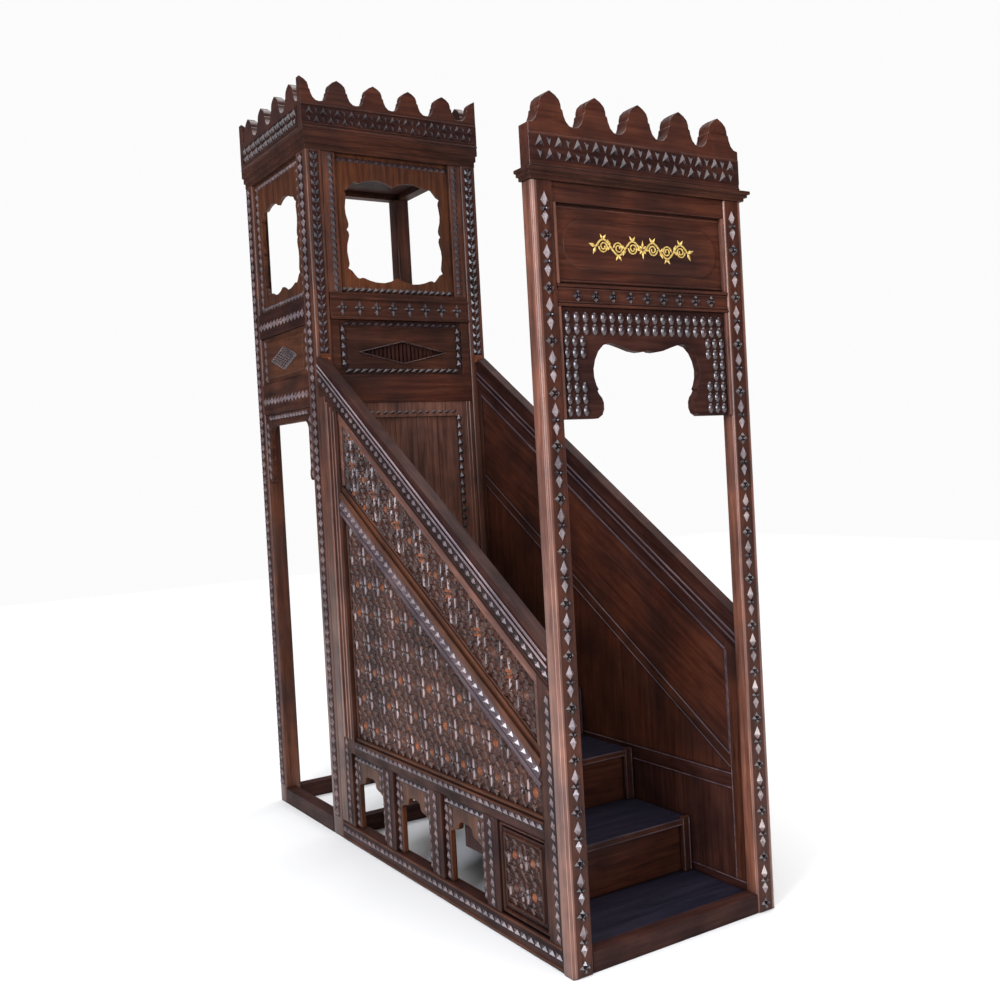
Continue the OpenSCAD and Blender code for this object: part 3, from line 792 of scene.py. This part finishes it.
def rails(name, side):
    """Beads and fillets of the handrail, the sloping rail, the level rail and the base rail."""
    face = Face(side, 0)
    raised = Face(side, -4)
    n = face.n
    y0, y1 = POST_BACK + 4, TOWER_Y - 4
    # Near-black strips under the bead rows: painted shade of a groove.
    groove_shades = Relief()
    groove_shades.strip(*face.slope(hand_top, 96, y0, y1), n, (33, 1))
    eggs = Relief()
    way = (Y + Z * HAND_SLOPE).normalized()
    for y in steps(y0, y1, 40):
        eggs.stamp(FACET, face.at(y, hand_top(y) - 96), way, n, (44, 28, 10))
    eggs.piece(f"handrail_{name}_beads", bead_wood)
    bright = Relief()
    for drop in (38, 62):
        bright.bar(*raised.slope(hand_top, drop, y0, y1), n, (9, 3))
    bright.piece(f"handrail_{name}_bright_lines", line_wood, smooth=True)
    dull = Relief()
    for drop, size in ((76, (5, 3)), (118, (6, 5)), (131, (8, 5))):
        dull.bar(*face.slope(hand_top, drop, y0, y1), n, size)
    dull.piece(f"handrail_{name}_fillets", stain("dark", "slope"), smooth=True)

    y0, y1 = STILE_Y + 2, PANEL_BACK - 2
    warm = Relief()
    warm.strip(*Face(side, 14).slope(mid_top, 13, y0, y1), n, (25, 6))
    warm.strip(*face.slope(mid_top, 41, y0, y1), n, (29, 3))
    warm.piece(f"slope_rail_{name}_warm_band", stain("orange", "slope"))
    band = Relief()
    band.strip(*face.slope(mid_top, 78, y0, y1), n, (42, 4))
    band.strip(*face.slope(mid_top, 117, y0, y1), n, (20, 5))
    band.piece(f"slope_rail_{name}_bands", stain("lilac", "slope"))
    dents = Relief()
    way = (Y + Z * MID_SLOPE).normalized()
    for y in steps(y0, y1, 38):
        dents.stamp(FACET, raised.at(y, mid_top(y) - 72), way, n, (38, 24, 10))
        dents.stamp(STUD4, raised.at(y + 19, mid_top(y + 19) - 88), way, n, (10, 9, 3))
    # The dents are in pale wood: a painted highlight along the rail.
    dents.piece(f"slope_rail_{name}_dents", facet_highlight_wood)

    twist = Relief()
    for z, start, end in ((LEVEL_HI - 19, STILE_Y, PANEL_BACK), (BASE_H - 37, POST_BACK, TOWER_Y)):
        twist.row(*face.level(start + 4, end - 4, z), n, 44, (48, 23, 12), 0.4 * side)
        groove_shades.strip(*face.level(start + 2, end - 2, z), n, (30, 1))
    groove_shades.piece(f"rail_groove_shades_{name}", groove_shade)
    twist.piece(f"level_and_base_beads_{name}", bead_wood)
    edge = Relief()
    edge.bar(*face.level(y0, y1, LEVEL_HI - 4), n, (7, 4))
    for z, wide in ((BASE_H - 6, 8), (10, 10)):
        edge.bar(*face.level(POST_BACK + 2, TOWER_Y - 2, z), n, (wide, 4))
    edge.piece(f"level_and_base_edges_{name}", stain("orange", "y"), smooth=True)


def uprights(name, side):
    """Bead columns of the stiles, bead borders of the base arches and flat strips of the back stile."""
    face = Face(side, 0)
    board = Face(side, 14)
    n = face.n
    columns = Relief()
    # Near-black strips under the bead columns and rows: painted shade of a groove.
    groove_shades = Relief()

    def column(on, y, low, high, pitch=37, size=(40, 21, 11)):
        columns.row(*on.upward(y, low, high), n, pitch, size, 0.35)
        groove_shades.strip(*on.upward(y, low, high), n, (size[1] + 6, 1))

    column(face, POST_BACK + 20, BASE_H + 6, hand_top(POST_BACK) - 150)
    column(face, PANEL_BACK + ARCH_SIDE + 40, BASE_H + 6, LEVEL_HI)
    half = ARCH_W / 2
    for i in range(3):
        centre = ARCH_MID + ARCH_PITCH * i
        reach = half + ARCH_SIDE
        for edge in (LEFT, RIGHT):
            column(board, centre + edge * (reach - ARCH_SIDE / 2), BASE_H + 4, LEVEL_LO - 38)
        head = board.level(centre - reach + 8, centre + reach - 8, LEVEL_LO - 23)
        columns.row(*head, n, 37, (40, 22, 12), 0.4 * side)
        groove_shades.strip(*head, n, (28, 1))
        for edge in (LEFT, RIGHT):
            column(board, centre + edge * (half - 12), LEVEL_LO - 122, LEVEL_LO - 42, 34, (34, 15, 9))
    for i in range(3):
        column(face, ARCH_MID + ARCH_PITCH * (i - 0.5), BASE_H + 4, LEVEL_LO - 8)
    columns.piece(f"upright_beads_{name}", bead_wood)
    groove_shades.piece(f"upright_groove_shades_{name}", groove_shade)

    def back_strip(strips, y, foot, size):
        strips.strip(*face.upward(y, foot, hand_top(y) - HAND_DEEP - 24), n, size)

    flat = Relief()
    back_strip(flat, TOWER_Y - 38, BASE_H + 8, (64, 3))
    flat.piece(f"back_stile_{name}_strip", stain("pillar", "z"), "warm_wood")
    lines = Relief()
    for y, size in ((TOWER_Y - 84, (18, 5)), (PANEL_BACK + 58, (8, 3)), (PANEL_BACK + 26, (8, 3))):
        back_strip(lines, y, LEVEL_HI + 6, size)
    lines.piece(f"back_stile_{name}_lines", stain("post", "z"), "warm_wood")


def carved_panels(name, side):
    """Frames, star lattices and rims of the upper, lower and base panels."""
    face = Face(side, 22)
    n = face.n
    low, high = STILE_Y + 3, PANEL_BACK - 3
    frames = Relief()
    frames.strip(*face.slope(hand_top, HAND_DEEP + 24, low - 14, high + 14), n, (44, 13))
    for y, shift, wide in ((low, 14, 28), (high, -12, 24)):
        frames.strip(*face.upward(y + shift, mid_top(y), hand_top(y) - HAND_DEEP), n, (wide, 11.5))
    frames.piece(f"upper_frame_{name}", stain("rose", "slope"), "warm_wood")

    ends = low + 30, high - 26
    upper = [Vector((y, mid_top(y) + 4)) for y in ends]
    upper += [Vector((y, hand_top(y) - HAND_DEEP - 48)) for y in reversed(ends)]
    pitch = 205
    line = [Vector((y, (mid_top(y) + hand_top(y) - HAND_DEEP - 44) / 2))
            for y in (low + 96 + pitch / 2 * (i - 2) for i in range(20))]
    centres = line[::2]
    small = [spot + Vector((0, lift)) for spot in line for lift in (-120, 0, 120)]
    star_lattice(f"upper_panel_{name}", face, upper, small, 58, (9, 8), 3)
    strokes(f"upper_panel_{name}", face, upper, centres, (-99, -53, 53, 99), 54, (12, 6))
    crosses = Relief()
    for centre in centres:
        spot = centre + Vector((102, 62))
        if inside(spot, upper, 26):
            for i in range(4):
                crosses.stamp(PETAL, face.at(*spot), wall_way(math.pi * (i + 0.5) / 2), n, (34, 20, 13))
    crosses.piece(f"upper_panel_{name}_crosses", stain("amber", "y"), "warm_wood")

    level = LEVEL_HI + 16
    under = MID_DEEP + 22
    start = max(low + 24, (level + under - MID_FOOT) / MID_SLOPE)
    end = high - 20
    lower = [Vector((start, level)), Vector((end, level)), Vector((end, mid_top(end) - under)),
             Vector((start, mid_top(start) - under + 0.1))]
    pitch = 125
    centres = [Vector((end - pitch * (c + 0.5), level + pitch * (r + 0.5)))
               for c in range(12) for r in range(9)]
    centres = [c for c in centres if inside(c, lower, -pitch * 0.6)]
    star_lattice(f"lower_panel_{name}", face, lower, centres, pitch / 2, (9, 7), 4)
    strokes(f"lower_panel_{name}", face, lower, centres, (-42, 42), 42, (9, 6))
    rims = Relief()
    border(rims, face, grow(lower, 5), (11, 10))
    border(rims, face, grow(upper, -3), (9, 9))
    rims.piece(f"panel_rims_{name}", stain("umber", "slope"), "warm_wood", smooth=True)
    floor_band = Relief()
    floor_band.strip(*face.level(start - 30, high, LEVEL_HI + 7), n, (13, 13))
    floor_band.piece(f"lower_frame_{name}", stain("orange", "y"), "warm_wood")

    lo, hi = span(f"base_panel_{name}")
    plate = Face(side, 10)
    box = outline(STILE_Y + 38, lo.z + 46, BASE_PANEL_END - 38, hi.z - 40)
    middle = Vector(((STILE_Y + BASE_PANEL_END) / 2, (lo.z + hi.z) / 2 + 3))
    centres = [middle + Vector((dy, dz)) * 58 for dy in (-1, 1) for dz in (-1, 1)]
    star_lattice(f"base_panel_{name}", plate, box, centres, 58, (9, 8), 3)
    strokes(f"base_panel_{name}", plate, box, centres, (-40, 40), 36, (9, 7))
    rim = Relief()
    border(rim, plate, box, (10, 8))
    border(rim, Face(side, 18), outline(STILE_Y + 10, lo.z + 12, BASE_PANEL_END - 10, hi.z - 10), (16, 13))
    rim.piece(f"base_panel_{name}_rim", stain("umber", "z"), "warm_wood", smooth=True)


def inner_face(name, side):
    """Fine light mouldings on the plain inner skin."""
    lines = Relief()
    skin = WALL_OUT - WALL_IN
    wall, field, rail = Face(side, skin, -1), Face(side, skin - 6, -1), Face(side, skin + 4, -1)
    n = wall.n
    y0, y1 = STILE_Y + 2, TOWER_Y - 30
    for drop, high in ((74, 3), (101, 2)):
        lines.bar(*rail.slope(hand_top, drop, POST_BACK + 2, TOWER_Y - 2), n, (8, high))
    lines.bar(*wall.slope(hand_top, LIP_DROP - 3, y0, y1), n, (6, 2))
    lines.bar(*field.slope(hand_top, LIP_DROP + 5, y0, y1), n, (8, 5))
    for drop in (BAND_DROP + 3, BAND_BOTTOM - 3):
        lines.bar(*wall.slope(hand_top, drop, y0, y1), n, (5, 2))
    lines.bar(*field.upward(y0 + 5, hand_top(y0) - BAND_DROP, hand_top(y0) - LIP_DROP - 4), n, (8, 5))
    for z in (LEVEL_LO + 3, LEVEL_HI - 3):
        lines.bar(*wall.level(y0, PANEL_BACK - 2, z), n, (5, 2))
    lines.bar(*wall.upward(STILE_Y - 3, BASE_H + 2, hand_top(STILE_Y) - LIP_DROP), n, (5, 2))
    lines.bar(*wall.level(POST_BACK + 2, STILE_Y + 268, BASE_H - 4), n, (5, 2))
    lines.piece(f"inner_mouldings_{name}", stain("lilac", "slope"), "warm_wood", smooth=True)


# ---- tower
PANEL_RISE = 8


def rope(relief, a, b, pitch, half):
    """A thick column of overlapping leaves, alternately turned to the left and to the right."""
    count = round((b - a).length / (pitch * MM))
    for i in range(count):
        spot = a.lerp(b, i / count)
        for side in (RIGHT, LEFT):
            way = (Z + X * (side * 0.62)).normalized()
            relief.stamp(PETAL, spot, way, AHEAD, (pitch * 1.05, half * 0.95, 10))
        relief.stamp(FACET, spot + Z * (pitch * 0.8 * MM), Z, AHEAD, (pitch * 0.7, half * 0.6, 9))


def front_columns(relief, x, y, low, high, pitch, size, slant=0.35):
    """A bead column on the left and on the right of the tower's front."""
    for side in (LEFT, RIGHT):
        relief.row(*upward(side * x, y, low, high), AHEAD, pitch, size, slant)


def tower_front():
    """Carved posts, bead borders, flower rail, diamond rim and seat trims of the tower's front."""
    rail_lo, rail_hi = span("front_rail")
    grille_lo, grille_hi = span("grille_panel")
    seat_lo, seat_hi = span("seat_back")
    board_lo, board_hi = span("window_board_front")
    mid_post = (JAMB + WALL_OUT) / 2

    for name, side in SIDES.items():
        leaves = Relief()
        line = upward(side * mid_post, TOWER_Y, hand_top(TOWER_Y) + 14, ROOF - 8)
        rope(leaves, *line, 40, 25)
        leaves.piece(f"tower_post_{name}_carving", carved)
        hollow = Relief()
        hollow.strip(*line, AHEAD, (46, 1.2), 1.0)
        beads = Relief()
        for y_mid in ((SIDE_LO + TOWER_Y) / 2, (SIDE_HI + BACK_Y) / 2):
            line = upward(side * WALL_OUT, y_mid, 90, ROOF - 12)
            beads.row(*line, X * side, 42, (46, 50, 14))
            hollow.strip(*line, X * side, (54, 1.2), 1.0)
        beads.piece(f"tower_post_{name}_beads", bead_wood)
        hollow.piece(f"tower_post_{name}_hollows", stain("dark", "z"))

    beads = Relief()
    front_columns(beads, JAMB - 40, span("window_stiles")[0].y, rail_hi.z + 4, ROOF - 6, 33, (46, 32, 11))
    for z in (ROOF - 26, rail_hi.z + 18):
        beads.row(*across(board_hi.x - 2, board_lo.y, z), AHEAD, 33, (45, 28, 10), 0.35)
    beads.piece("window_beads_front", carved)

    motifs = Relief()
    for i in range(8):
        centre = at((i - 3.5) * 86, TOWER_Y, (rail_lo.z + rail_hi.z) / 2 - 8)
        flower(motifs, centre, (35, 24), (32, 20), 8, STUD8, (18, 18, 10))
    motifs.piece("front_rail_flowers", carved)

    rim = Relief()
    face_y = grille_lo.y
    middle, wide, high = grille_lo.z + 105, 229, 53
    diamond = [(-wide, middle), (0, middle - high), (wide, middle), (0, middle + high)]
    for (xa, za), (xb, zb) in zip(diamond, diamond[1:] + diamond[:1]):
        rim.bar(at(xa, face_y, za), at(xb, face_y, zb), AHEAD, (7, 5), arc=3)
    rim.piece("grille_rim", lattice_wood, "warm_wood", smooth=True)

    rows = Relief()
    for z in (grille_hi.z - 18, grille_lo.z + 18):
        rows.row(*across(JAMB - 62, face_y, z), AHEAD, 38, (44, 22, 8), 0.35)
    front_columns(rows, JAMB - 60, face_y, grille_lo.z + 30, grille_hi.z - 30, 38, (45, 28, 10))
    rows.row(*across(JAMB - 86, seat_lo.y + 2, seat_hi.z - 48), AHEAD, 36, (42, 26, 9), 0.35)
    front_columns(rows, JAMB - 75, seat_lo.y, seat_lo.z + 30, seat_hi.z - 64, 40, (47, 28, 9), 0.3)
    rows.piece("tower_front_beads", carved)

    blocks = Relief()
    trims = Relief()
    for side in (LEFT, RIGHT):
        for x, size in ((JAMB - 14, (12, 6)), (JAMB - 31, (7, 4))):
            trims.bar(*upward(side * x, seat_lo.y, seat_lo.z + 30, seat_hi.z), AHEAD, size)
        block = at(side * mid_post, TOWER_Y, grille_lo.z + 76)
        reach = X * (side * 22 * MM)
        blocks.strip(block - reach, block + reach, AHEAD, (34, 13), 3)
    blocks.piece("tower_post_blocks", stain("amber", "x"), "warm_wood")
    trims.piece("seat_trims", stain("post", "z"), "warm_wood", smooth=True)


def side_row(relief, x, inset, z, n, pitch, size, slant):
    """A level bead row between the tower's posts on one side."""
    relief.row(at(x, SIDE_LO + inset, z), at(x, SIDE_HI - inset, z), n, pitch, size, slant)


def side_columns(relief, x, inset, low, high, n, size):
    """A bead column beside each post on one side of the tower."""
    for y in (SIDE_LO + inset, SIDE_HI - inset):
        relief.row(*upward(x, y, low, high), n, 40, size, 0.3)


def tower_sides():
    """Bead rows, the left window's border and the lattice diamonds of the tower's sides."""
    rail_lo, rail_hi = span("side_rails_upper")
    low_lo, low_hi = span("side_rails_lower")
    panel_lo, panel_hi = span("side_panels")
    val_lo, val_hi = span("side_valances")
    win_lo, win_hi = span("window_board_left")
    for name, side in SIDES.items():
        n = X * side
        rows = Relief()
        side_row(rows, side * rail_hi.x, 6, rail_lo.z + 55, n, 46, (42, 42, 13), 0.2 * side)
        side_row(rows, side * low_hi.x, 6, low_lo.z + 63, n, 46, (42, 42, 13), 0.2 * side)
        side_columns(rows, side * val_hi.x, 24, val_lo.z + 8, val_hi.z - 40, n, (46, 25, 10))
        side_row(rows, side * val_hi.x, 50, val_hi.z - 20, n, 40, (46, 25, 10), 0.35 * side)
        x = side * (panel_hi.x - PANEL_RISE)
        side_columns(rows, x, 34, panel_lo.z + 8, panel_hi.z - 8, n, (46, 24, 9))
        rows.piece(f"tower_side_beads_{name}", bead_wood)

    windows = Relief()
    side_columns(windows, win_lo.x, 30, win_lo.z + 8, win_hi.z - 8, -X, (47, 27, 10))
    for z in (win_hi.z - 22, win_lo.z + 22):
        side_row(windows, win_lo.x, 50, z, -X, 41, (48, 25, 9), 0.35)
    windows.piece("window_beads_left", bead_wood)

    centre = Vector(((SIDE_LO + SIDE_HI) / 2, (panel_lo.z + panel_hi.z) / 2 - 8))
    wide, high = Vector((165, 0)), Vector((0, 54))
    corners = [centre + wide, centre + high, centre - wide, centre - high]
    for name, side in SIDES.items():
        face = Face(side, WALL_OUT - panel_hi.x)
        work = Relief()
        for i in range(7):
            middle = centre + Vector((48 * (i - 3), 0))
            for way in (wide + high, wide - high):
                part = clipped(middle - way * 3, middle + way * 3, corners)
                if part:
                    work.bar(face.at(*part[0]), face.at(*part[1]), face.n, (10, 7), arc=1)
        border(work, face, corners, (9, 5), arc=3)
        work.piece(f"side_panel_lattice_{name}", bead_wood, "warm_wood")


def crown():
    """Leaf frieze and mouldings on the four boards of the tower's crown."""
    boards = (("crown_front", -Y, X), ("crown_back", Y, X), ("crown_left", -X, Y), ("crown_right", X, Y))
    for board, n, u in boards:
        lo, hi = span(board)
        long = (hi - lo).dot(u)
        outer = (lo + hi) / 2 + n * abs((hi - lo).dot(n) / 2)
        spot = at(outer.x, outer.y, lo.z + 72)
        frieze(board, spot, u, n, long, round(long / 70), 78, carved)
        lines = Relief()
        reach = u * ((long / 2 - 2) * MM)
        for lift, size in ((14, (12, 7)), (30, (7, 4)), (116, (8, 4))):
            spot = at(outer.x, outer.y, lo.z + lift)
            lines.bar(spot - reach, spot + reach, n, size)
        lines.piece(f"{board}_mouldings", stain("red", "x"), "red_wood", smooth=True)


# ---- stair
def stair():
    """Brown tread fronts, light lines along the nosings and at the ends of the risers."""
    first = span("stair_treads")[0]
    half = POST_IN - 18
    trims = Relief()
    fronts = Relief()
    for i in range(4):
        nose = first.y + GOING * i
        top = first.z + TREAD_T + RISE * i
        fronts.strip(*across(half, nose, top - TREAD_T / 2), AHEAD, (TREAD_T - 2, 1.2), 1)
        trims.bar(*across(half, nose + 6, top), Z, (7, 2.5), arc=3)
        trims.bar(*across(half, nose - 1, top - TREAD_T + 2), AHEAD, (5, 2), arc=3)
        for side in (LEFT, RIGHT):
            for x in (WALL_IN - 37, WALL_IN - 8):
                trims.bar(*upward(side * x, nose, top - RISE + 4, top + 4), AHEAD, (5, 3), arc=3)
    fronts.piece("tread_fronts", stain("umber", "x"), "tread_wood")
    trims.piece("tread_nosing_lines", stain("lilac", "x"), "tread_wood", smooth=True)


# ---- surroundings
def floor():
    """A wide, flat, pale floor."""
    form = bmesh.new()
    bmesh.ops.create_grid(form, x_segments=8, y_segments=8, size=14)
    mesh = bpy.data.meshes.new("floor")
    form.to_mesh(mesh)
    form.free()
    pale, tree, shader = new_material("floor_pale")
    cloud = node(tree, "ShaderNodeTexNoise", Scale=0.7, Detail=2.0)
    tint = ramp(tree, cloud, [(0.3, (0.72, 0.72, 0.72)), (0.7, (0.76, 0.76, 0.76))])
    fill(tree, shader, Base_Color=tint, Roughness=0.7)
    mesh.materials.append(pale)
    put("floor", mesh)


def area_light(name, place, target, size, power, tint):
    light = bpy.data.lights.new(name, "AREA")
    light.shape = "RECTANGLE"
    light.size, light.size_y = size
    light.energy = power
    light.color = tint
    made = put(name, light)
    made.location = place
    made.rotation_euler = (Vector(target) - Vector(place)).to_track_quat("-Z", "Y").to_euler()


def lights():
    """Pale surroundings to look at, dim ones to light with, three soft lamps and a wide soft sun."""
    world = bpy.data.worlds.new("studio")
    bpy.context.scene.world = world
    world.use_nodes = True
    tree = world.node_tree
    dim = tree.nodes["Background"]
    fill(tree, dim, Color=(0.8, 0.86, 1.0, 1), Strength=0.11)
    pale = node(tree, "ShaderNodeBackground", Color=(0.97, 0.97, 0.97, 1))
    both = tree.nodes.new("ShaderNodeMixShader")
    seen = node(tree, "ShaderNodeLightPath").outputs["Is Camera Ray"]
    for place, source in enumerate((seen, dim.outputs[0], pale.outputs[0])):
        tree.links.new(source, both.inputs[place])
    fill(tree, tree.nodes["World Output"], Surface=both)
    area_light("key", (-5.2, -3.6, 3.0), (0, -0.3, 1.6), (1.4, 3.4), 340, (0.86, 0.9, 1.0))
    area_light("front", (-2.6, -5.4, 3.0), (-0.2, -0.6, 1.6), (1.6, 3.0), 125, (1.0, 0.95, 0.9))
    sun = bpy.data.lights.new("overhead", "SUN")
    sun.energy = 4.2
    sun.angle = 1.4
    put("overhead", sun)
    area_light("rim", (4.6, 3.6, 3.4), (0, 0.4, 1.6), (2.0, 3.0), 45, (1.0, 0.98, 0.95))


EYE = Vector((-2.4232, -4.3128, 1.6649))
AZIMUTH, ELEVATION, ROLL = 0.5882, -0.0203, -0.0537


def camera():
    """The photograph's viewing angle: a standing photographer in front, to the left."""
    lens = bpy.data.cameras.new("camera")
    made = put("camera", lens)
    ahead = Vector((math.sin(AZIMUTH) * math.cos(ELEVATION), math.cos(AZIMUTH) * math.cos(ELEVATION),
                    math.sin(ELEVATION)))
    level = Vector((math.cos(AZIMUTH), -math.sin(AZIMUTH), 0))
    above = level.cross(ahead)
    right = level * math.cos(ROLL) + above * math.sin(ROLL)
    up = above * math.cos(ROLL) - level * math.sin(ROLL)
    turn = Matrix((right, up, -ahead)).transposed()
    made.matrix_world = Matrix.Translation(EYE) @ turn.to_4x4()
    lens.sensor_width = 36
    lens.lens = 40.44
    lens.shift_x = -0.05204
    lens.shift_y = -0.01316
    bpy.context.scene.camera = made


portal()
gold_scroll()
for side_name, side_sign in SIDES.items():
    rails(side_name, side_sign)
    uprights(side_name, side_sign)
    carved_panels(side_name, side_sign)
    inner_face(side_name, side_sign)
tower_front()
tower_sides()
crown()
stair()
floor()
lights()
camera()
bpy.context.scene.view_settings.view_transform = "Standard"
